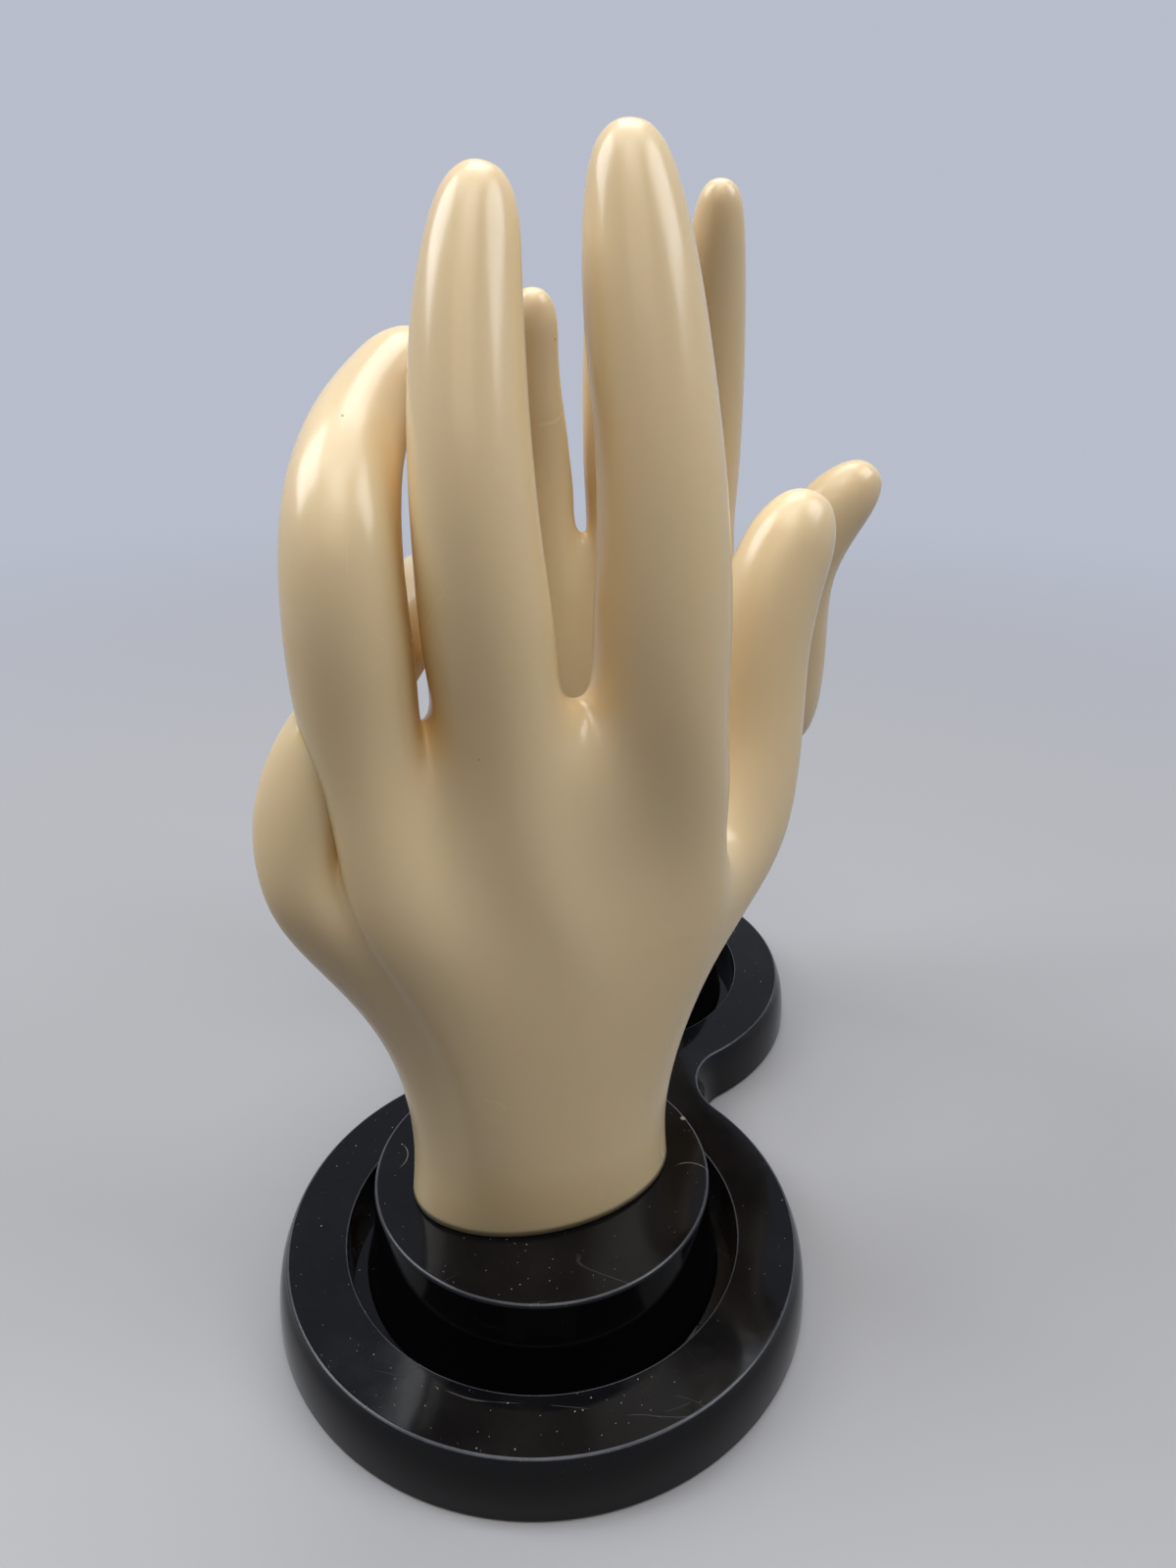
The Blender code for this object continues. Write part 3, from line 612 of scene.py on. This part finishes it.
def well_profile():
    """Section of the cut for a well, with a rounded lip that runs on past the top of the rim."""
    lip = WELL_LIP_CHAMFER
    rounded = arc((WELL_RADIUS + lip, RIM_HEIGHT - lip), lip, pi, WELL_LIP_END)
    return [(WELL_RADIUS, WELL_FLOOR)] + rounded + [(WELL_RADIUS + 3 * lip, RIM_HEIGHT + lip / 2)]


def new_object(name, built):
    """Turn a bmesh into a smooth shaded object."""
    bmesh.ops.recalc_face_normals(built, faces=built.faces)
    mesh = bpy.data.meshes.new(name)
    built.to_mesh(mesh)
    built.free()
    mesh.shade_smooth()
    made = bpy.data.objects.new(name, mesh)
    bpy.context.collection.objects.link(made)
    return made


def combine(target, helper, operation):
    """Add or cut a helper on a target with an exact Boolean."""
    modifier = target.modifiers.new(helper.name, "BOOLEAN")
    modifier.operation = operation
    modifier.solver = "EXACT"
    modifier.object = helper


def settle(target, helpers=()):
    """Apply the modifiers of an object and remove its helpers."""
    bpy.context.view_layer.update()
    graph = bpy.context.evaluated_depsgraph_get()
    mesh = bpy.data.meshes.new_from_object(target.evaluated_get(graph))
    target.modifiers.clear()
    old = target.data
    target.data = mesh
    bpy.data.meshes.remove(old)
    for helper in helpers:
        bpy.data.objects.remove(helper, do_unlink=True)


def make_base():
    """The base moulding, finer than the CAD node that it stands for."""
    centers = disc_centers()
    roof = RIM_HEIGHT - BASE_WALL
    outside = [figure_eight(inset, height) for inset, height in skirt_profile()]
    inside = [figure_eight(BASE_WALL + FOOT_EDGE_ROUND, -CUTTER_REACH),
              figure_eight(BASE_WALL + FOOT_EDGE_ROUND, roof / 2),
              figure_eight(BASE_WALL + RIM_SIDE_DRAW, roof)]
    outer = WELL_RADIUS + BASE_WALL
    jacket = [(outer, WELL_FLOOR - BASE_WALL), (outer, PLINTH_HEIGHT)]
    bore = SCREW_RADIUS + FIT_GAP
    hole = [(bore, -CUTTER_REACH), (bore, PLINTH_HEIGHT + CUTTER_REACH)]
    base = new_object("base_moulding", loft(outside))
    hollow = new_object("rim_hollow", loft(inside))
    jackets = new_object("jackets", turned(jacket, centers))
    rib = new_object("waist_rib",
                     block((2 * DISC_RADIUS, WAIST_RIB_THICKNESS, 2 * PLINTH_HEIGHT)))
    wells = new_object("wells", turned(well_profile(), centers))
    plinths = new_object("plinths", turned(plinth_profile(), centers))
    cavities = new_object("cavities", turned(cavity_profile(), centers))
    holes = new_object("screw_bores", turned(hole, centers, SMALL_SEGMENTS))
    combine(hollow, jackets, "DIFFERENCE")
    combine(hollow, rib, "DIFFERENCE")
    combine(base, wells, "DIFFERENCE")
    combine(base, plinths, "UNION")
    for cutter in (hollow, cavities, holes):
        combine(base, cutter, "DIFFERENCE")
    settle(base, (hollow, jackets, rib, wells, plinths, cavities, holes))
    base.data.shade_smooth()
    base.data.set_sharp_from_angle(angle=SMOOTH_ANGLE)
    flats = base.modifiers.new("flat_faces", "WEIGHTED_NORMAL")
    flats.keep_sharp = True
    return base


def ray_fan(normal):
    """Directions spread evenly over the half space above a surface."""
    turn = normal.to_track_quat("Z", "Y")
    for ray in range(SHADE_RAYS):
        rise = (ray + 0.5) / SHADE_RAYS
        reach, angle = sqrt(1 - rise * rise), ray * GOLDEN_TURN
        yield turn @ Vector((reach * cos(angle), reach * sin(angle), rise))


def shade_between(made):
    """Write how far each point is closed in by the rest of the hand as the attribute "shade"."""
    mesh = made.data
    tree = BVHTree.FromPolygons([vertex.co for vertex in mesh.vertices],
                                [polygon.vertices for polygon in mesh.polygons])
    shade = mesh.attributes.new("shade", "FLOAT", "POINT")
    for vertex in mesh.vertices:
        start = vertex.co + vertex.normal * SHADE_START
        closed = 0
        for ray in ray_fan(vertex.normal):
            distance = tree.ray_cast(start, ray, SHADE_REACH)[3]
            closed += 1 - distance / SHADE_REACH if distance is not None else 0
        shade.data[vertex.index].value = closed / SHADE_RAYS


def uneven_skin(made, seed):
    """Move the skin of a hand in and out a little, in waves that run along the fingers."""
    for vertex in made.data.vertices:
        x, y, z = vertex.co
        wave = noise.noise(Vector((x, y, z / SKIN_STRETCH)) / SKIN_WAVE + Vector((seed, 0, 0)))
        vertex.co += vertex.normal * wave * SKIN_HEIGHT * min(1, z / SKIN_WAVE)


def make_hand(hand, center, seed):
    """One hand, finer than the CAD node that it stands for."""
    made = new_object(hand.name + "_moulding", hand_cage(hand))
    made.location = center + Vector((0, 0, PLINTH_HEIGHT + FIT_GAP))
    smooth = made.modifiers.new("smooth_form", "SUBSURF")
    smooth.levels = smooth.render_levels = HAND_SHAPE_STEPS
    settle(made)
    uneven_skin(made, seed)
    shade_between(made)
    made.data.transform(Matrix.Rotation(radians(hand.turn), 4, "Z"))
    made.data.shade_smooth()
    fine = made.modifiers.new("fine_form", "SUBSURF")
    fine.levels = fine.render_levels = HAND_RENDER_STEPS
    return made


class Finish:
    """A procedural material round one Principled shader, in the object's own coordinates."""

    def __init__(self, name):
        self.made = bpy.data.materials.new(name)
        self.made.use_nodes = True
        self.nodes = self.made.node_tree.nodes
        self.links = self.made.node_tree.links
        self.shader = self.nodes["Principled BSDF"]
        self.place = self.nodes.new("ShaderNodeTexCoord").outputs["Object"]

    def set(self, **values):
        """Set plain values on the shader's own sockets."""
        for name, value in values.items():
            self.shader.inputs[name.replace("_", " ")].default_value = value

    def link(self, output, socket):
        """Link an output to one of the shader's sockets."""
        self.links.new(output, self.shader.inputs[socket])

    def stretched(self, scale, turn=(0, 0, 0)):
        """The coordinates, turned and scaled apart on each axis."""
        mapping = self.nodes.new("ShaderNodeMapping")
        mapping.inputs["Rotation"].default_value = turn
        mapping.inputs["Scale"].default_value = scale
        self.links.new(self.place, mapping.inputs["Vector"])
        return mapping.outputs["Vector"]

    def noise(self, scale, detail=2, roughness=0.5, place=None, distortion=0):
        """Smooth noise; a scale of 100 has features of about 10 mm."""
        texture = self.nodes.new("ShaderNodeTexNoise")
        texture.inputs["Scale"].default_value = scale
        texture.inputs["Detail"].default_value = detail
        texture.inputs["Roughness"].default_value = roughness
        texture.inputs["Distortion"].default_value = distortion
        self.links.new(place or self.place, texture.inputs["Vector"])
        return texture.outputs["Fac"]

    def span(self, value, low, high, to_low=0, to_high=1):
        """Ease a value from one range to another."""
        ranged = self.nodes.new("ShaderNodeMapRange")
        ranged.interpolation_type = "SMOOTHSTEP"
        ends = {"From Min": low, "From Max": high, "To Min": to_low, "To Max": to_high}
        for name, number in ends.items():
            ranged.inputs[name].default_value = number
        self.links.new(value, ranged.inputs["Value"])
        return ranged.outputs["Result"]

    def math(self, operation, first, second=0):
        """One arithmetic step; the second value may be a plain number."""
        step = self.nodes.new("ShaderNodeMath")
        step.operation = operation
        self.links.new(first, step.inputs[0])
        if isinstance(second, (int, float)):
            step.inputs[1].default_value = second
        else:
            self.links.new(second, step.inputs[1])
        return step.outputs["Value"]

    def times(self, first, second):
        """Product of an output and another, or a plain number."""
        return self.math("MULTIPLY", first, second)

    def most(self, mask, *masks):
        """The largest of some masks."""
        for other in masks:
            mask = self.math("MAXIMUM", mask, other)
        return mask

    def specks(self, specks):
        """Mask of small round specks."""
        texture = self.nodes.new("ShaderNodeTexVoronoi")
        texture.inputs["Scale"].default_value = specks.scale
        self.links.new(self.place, texture.inputs["Vector"])
        parts = self.nodes.new("ShaderNodeSeparateColor")
        self.links.new(texture.outputs["Color"], parts.inputs["Color"])
        edge = specks.radius * specks.scale
        chosen = self.math("LESS_THAN", parts.outputs["Red"], specks.share)
        return self.times(self.span(texture.outputs["Distance"], edge, edge / 2), chosen)

    def curved_lines(self, lines, place=None):
        """Mask of thin curved lines, such as hairline scratches."""
        field = self.noise(lines.scale, detail=0, place=place, distortion=LINE_WAVER)
        apart = self.math("ABSOLUTE", self.math("SUBTRACT", field, lines.level))
        kept = self.span(self.noise(lines.breaks, detail=1), lines.rarity,
                         lines.rarity + BREAK_SOFTNESS)
        return self.times(self.span(apart, lines.width, lines.width / 4), kept)

    def distance(self, point):
        """Distance from a point."""
        apart = self.nodes.new("ShaderNodeVectorMath")
        apart.operation = "DISTANCE"
        apart.inputs[1].default_value = point
        self.links.new(self.place, apart.inputs[0])
        return apart.outputs["Value"]

    def near(self, point, reach):
        """Mask that fades out with the distance from a point."""
        return self.span(self.distance(point), reach, reach / 3)

    def fibre(self, fibre):
        """Mask of a thin arc."""
        apart = self.math("SUBTRACT", self.distance(fibre.center), fibre.radius)
        line = self.span(self.math("ABSOLUTE", apart), FIBRE_THICKNESS, FIBRE_THICKNESS / 2)
        return self.times(line, self.near(fibre.place, fibre.reach))

    def facing_up(self, low, high):
        """Mask that rises with how far a surface faces up."""
        geometry = self.nodes.new("ShaderNodeNewGeometry")
        parts = self.nodes.new("ShaderNodeSeparateXYZ")
        self.links.new(geometry.outputs["Normal"], parts.inputs["Vector"])
        return self.span(parts.outputs["Z"], low, high)

    def mixed(self, factor, first, second):
        """Blend two colours; either may be a plain colour or an output."""
        mix = self.nodes.new("ShaderNodeMix")
        mix.data_type = "RGBA"
        self.links.new(factor, mix.inputs["Factor"])
        for socket, color in ((MIX_FIRST, first), (MIX_SECOND, second)):
            if isinstance(color, tuple):
                mix.inputs[socket].default_value = color
            else:
                self.links.new(color, mix.inputs[socket])
        return mix.outputs[MIX_RESULT]

    def bump(self, *layers):
        """Raise the surface by layers of (height output, depth in metres)."""
        normal = None
        for height, depth in layers:
            raised = self.nodes.new("ShaderNodeBump")
            raised.inputs["Distance"].default_value = depth
            self.links.new(height, raised.inputs["Height"])
            if normal:
                self.links.new(normal, raised.inputs["Normal"])
            normal = raised.outputs["Normal"]
        self.link(normal, "Normal")


def ivory_finish():
    """Aged ivory plastic: clouds, amber yellowing and painted shade between the fingers, stains,
    specks, scratches.
    """
    ivory = Finish("ivory_finish")
    shade = ivory.nodes.new("ShaderNodeAttribute")
    shade.attribute_name = "shade"
    clouds = ivory.noise(CLOUD_SCALE, detail=1)
    uneven = ivory.span(clouds, *NOISE_MIDDLE, -SHADE_UNEVEN, SHADE_UNEVEN)
    # Painted shade: amber laid where rays find the hand closed in, standing for shade and warm
    # bounce light, with some yellowing
    closed = ivory.span(ivory.math("ADD", shade.outputs["Fac"], uneven), *SHADE_RANGE)
    stains = ivory.span(ivory.noise(STAIN_SCALE, detail=2), *STAIN_RANGE)
    scratches = ivory.most(*(ivory.curved_lines(lines) for lines in IVORY_SCRATCHES))
    color = ivory.mixed(ivory.span(clouds, *CLOUD_RANGE, 0, CLOUD_STRENGTH), IVORY, IVORY_WARM)
    for mask, strength, over in (
            (closed, SHADE_STRENGTH, AMBER),
            (stains, STAIN_STRENGTH, STAIN),
            (scratches, IVORY_SCRATCH_STRENGTH, SCRATCH_PALE),
            (ivory.specks(BROWN_SPECKS), BROWN_SPECK_STRENGTH, SPECK_BROWN),
            (ivory.specks(AMBER_SPECKS), AMBER_SPECK_STRENGTH, AMBER)):
        color = ivory.mixed(ivory.times(mask, strength), color, over)
    ivory.link(color, "Base Color")
    rough = ivory.span(ivory.noise(IVORY_ROUGHNESS_SCALE), *NOISE_MIDDLE, *IVORY_ROUGHNESS)
    rough = ivory.math("ADD", rough, ivory.times(scratches, IVORY_SCRATCH_ROUGHNESS))
    ivory.link(rough, "Roughness")
    wrinkles = ivory.noise(1, detail=1, place=ivory.stretched(WRINKLE_SCALES),
                           distortion=WRINKLE_WAVER)
    ivory.bump((ivory.noise(WAVE_SCALE, detail=0), WAVE_HEIGHT), (wrinkles, WRINKLE_HEIGHT),
               (scratches, -IVORY_SCRATCH_DEPTH))
    ivory.set(Subsurface_Weight=GLOW_SHARE, Subsurface_Scale=GLOW_REACH,
              Subsurface_Radius=GLOW_SPREAD)
    return ivory.made


def base_marks(gloss, top, front):
    """Mask of the scratches on the tops of the base: most at the front, faint hairs elsewhere."""
    streaks = gloss.curved_lines(STREAKS, gloss.stretched(STREAK_STRETCH, STREAK_TURN))
    scratches = gloss.most(*(gloss.curved_lines(lines) for lines in GLOSS_SCRATCHES), streaks)
    hairs = gloss.times(gloss.curved_lines(HAIRS), HAIR_STRENGTH)
    return gloss.times(gloss.most(gloss.times(scratches, front), hairs), top)


def base_dust(gloss, top, front):
    """Mask of the dust on the tops of the base, and of the dirt on the front plinth."""
    specks = gloss.most(*(gloss.specks(specks) for specks in DUST_SPECKS))
    crumbs = gloss.times(gloss.specks(CRUMBS), front)
    return gloss.most(gloss.times(gloss.most(specks, crumbs), top),
                      gloss.near(FLECK_PLACE, FLECK_SIZE),
                      *(gloss.fibre(fibre) for fibre in FIBRES))


def gloss_finish():
    """Glossy black plastic: edges with painted highlight and wear, dust on what faces up, a
    scratched front.
    """
    gloss = Finish("gloss_black_finish")
    top = gloss.facing_up(*TOP_FACING)
    edges = gloss.times(gloss.facing_up(*EDGE_FACING_FROM), gloss.facing_up(*EDGE_FACING_TO))
    film = gloss.noise(FILM_SCALE, detail=FILM_DETAIL, roughness=FILM_GRAIN)
    front = gloss.near(SCUFF_PLACE, SCUFF_REACH)
    marks, dust = base_marks(gloss, top, front), base_dust(gloss, top, front)
    haze = gloss.times(gloss.span(film, *HAZE_RANGE, 0, HAZE_STRENGTH), top)
    cover = gloss.most(gloss.times(dust, DUST_STRENGTH), gloss.times(marks, MARK_STRENGTH))
    cover = gloss.math("ADD", cover, haze)
    # Pale band on the rounded edges: a painted highlight, with some wear
    edge_wear_and_highlight = gloss.times(edges, gloss.span(film, *NOISE_MIDDLE, *EDGE_WEAR_AND_HIGHLIGHT))
    color = gloss.mixed(edge_wear_and_highlight, GLOSS_BLACK, WORN_EDGE_AND_HIGHLIGHT)
    gloss.link(gloss.mixed(cover, color, DUST_GREY), "Base Color")
    rough = gloss.span(film, *GLOSS_ROUGHNESS_RANGE, *GLOSS_ROUGHNESS)
    gloss.link(gloss.math("ADD", rough, gloss.times(cover, DUST_ROUGHNESS)), "Roughness")
    gloss.set(Specular_IOR_Level=GLOSS_SPECULAR)
    gloss.bump((gloss.noise(GLOSS_WAVE_SCALE), GLOSS_WAVE_HEIGHT), (marks, -MARK_DEPTH))
    return gloss.made


def zinc_finish():
    """Zinc plated steel with a spangled sheen and a dull bloom."""
    zinc = Finish("zinc_finish")
    bloom = zinc.noise(BLOOM_SCALE, detail=BLOOM_DETAIL, roughness=BLOOM_GRAIN)
    zinc.link(zinc.mixed(zinc.span(bloom, *BLOOM_RANGE), ZINC, ZINC_DULL), "Base Color")
    zinc.link(zinc.span(bloom, *NOISE_MIDDLE, *ZINC_ROUGHNESS), "Roughness")
    zinc.bump((zinc.noise(1, place=zinc.stretched(TURNING_SCALES)), TURNING_HEIGHT))
    zinc.set(Metallic=1.0)
    return zinc.made


def dress(made, finish):
    """Give an object one finish, on its own slot where it is a CAD node."""
    if not made.material_slots:
        made.data.materials.append(finish)
    for slot in made.material_slots:
        slot.material = finish


def photo_camera():
    """Camera at the photograph's viewing angle, level apart from a slight roll."""
    aim = Vector(CAMERA_AIM).normalized()
    level = aim.cross(Vector((0, 0, 1))).normalized()
    right = cos(CAMERA_ROLL) * level + sin(CAMERA_ROLL) * level.cross(aim)
    turn = Matrix((right, right.cross(aim), -aim)).transposed().to_4x4()
    data = bpy.data.cameras.new("photo_camera")
    data.sensor_fit = "VERTICAL"
    data.sensor_height = SENSOR_SIZE
    data.lens = CAMERA_LENS
    data.clip_start = CAMERA_NEAR
    made = bpy.data.objects.new("photo_camera", data)
    made.matrix_world = Matrix.Translation(CAMERA_PLACE) @ turn
    bpy.context.collection.objects.link(made)
    bpy.context.scene.camera = made


def area_light(light):
    """Square soft light aimed at the hands."""
    data = bpy.data.lights.new(light.name, "AREA")
    data.size = light.size
    data.energy = light.watts
    data.color = light.color
    made = bpy.data.objects.new(light.name, data)
    made.location = light.place
    aim = Vector(LIGHT_TARGET) - Vector(light.place)
    made.rotation_euler = aim.to_track_quat("-Z", "Y").to_euler()
    bpy.context.collection.objects.link(made)


def seen_rays(nodes, links):
    """Mask of the rays that show the background: from the camera, reflected or let through."""
    path = nodes.new("ShaderNodeLightPath")
    seen = path.outputs["Is Camera Ray"]
    for kind in ("Is Glossy Ray", "Is Transmission Ray"):
        either = nodes.new("ShaderNodeMath")
        either.operation = "MAXIMUM"
        links.new(seen, either.inputs[0])
        links.new(path.outputs[kind], either.inputs[1])
        seen = either.outputs["Value"]
    return seen


def make_floor():
    """Floor that is pale, and fades into the background, for the rays that show it alone."""
    built = bmesh.new()
    bmesh.ops.create_grid(built, x_segments=1, y_segments=1, size=FLOOR_SIZE)
    floor = new_object("floor", built)
    finish = Finish("floor_finish")
    finish.set(Roughness=FLOOR_ROUGHNESS)
    far = finish.span(finish.distance((0, 0, 0)), *FLOOR_FADE)
    seen = seen_rays(finish.nodes, finish.links)
    finish.link(finish.mixed(seen, FLOOR_BOUNCE, FLOOR_GREY), "Base Color")
    glow = finish.nodes.new("ShaderNodeEmission")
    glow.inputs["Color"].default_value = BACKGROUND
    blend = finish.nodes.new("ShaderNodeMixShader")
    finish.links.new(finish.times(far, seen), blend.inputs["Fac"])
    finish.links.new(finish.shader.outputs["BSDF"], blend.inputs[1])
    finish.links.new(glow.outputs["Emission"], blend.inputs[2])
    surface = finish.nodes["Material Output"].inputs["Surface"]
    finish.links.new(blend.outputs["Shader"], surface)
    floor.data.materials.append(finish.made)


def make_world():
    """Pale background for the rays that show it, and a dim even fill for the rest."""
    world = bpy.data.worlds.new("studio")
    world.use_nodes = True
    nodes, links = world.node_tree.nodes, world.node_tree.links
    background = nodes["Background"]
    background.inputs["Color"].default_value = BACKGROUND
    strength = nodes.new("ShaderNodeMapRange")
    strength.inputs["To Min"].default_value = WORLD_FILL
    strength.inputs["To Max"].default_value = 1.0
    links.new(seen_rays(nodes, links), strength.inputs["Value"])
    links.new(strength.outputs["Result"], background.inputs["Strength"])
    bpy.context.scene.world = world


def main():
    """Build the pieces over the CAD nodes, dress them, and set the stage."""
    base = make_base()
    dress(base, gloss_finish())
    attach(base, "root")
    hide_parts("base")
    ivory = ivory_finish()
    for seed, (hand, center) in enumerate(zip((LEFT_HAND, RIGHT_HAND), disc_centers())):
        made = make_hand(hand, center, seed)
        dress(made, ivory)
        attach(made, "root")
        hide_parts(hand.name)
    zinc = zinc_finish()
    for name in ("left_screw", "left_washer", "right_screw", "right_washer"):
        dress(bpy.data.objects[name], zinc)
    make_floor()
    make_world()
    photo_camera()
    for light in LIGHTS:
        area_light(light)
    bpy.context.scene.view_settings.view_transform = "Standard"


main()
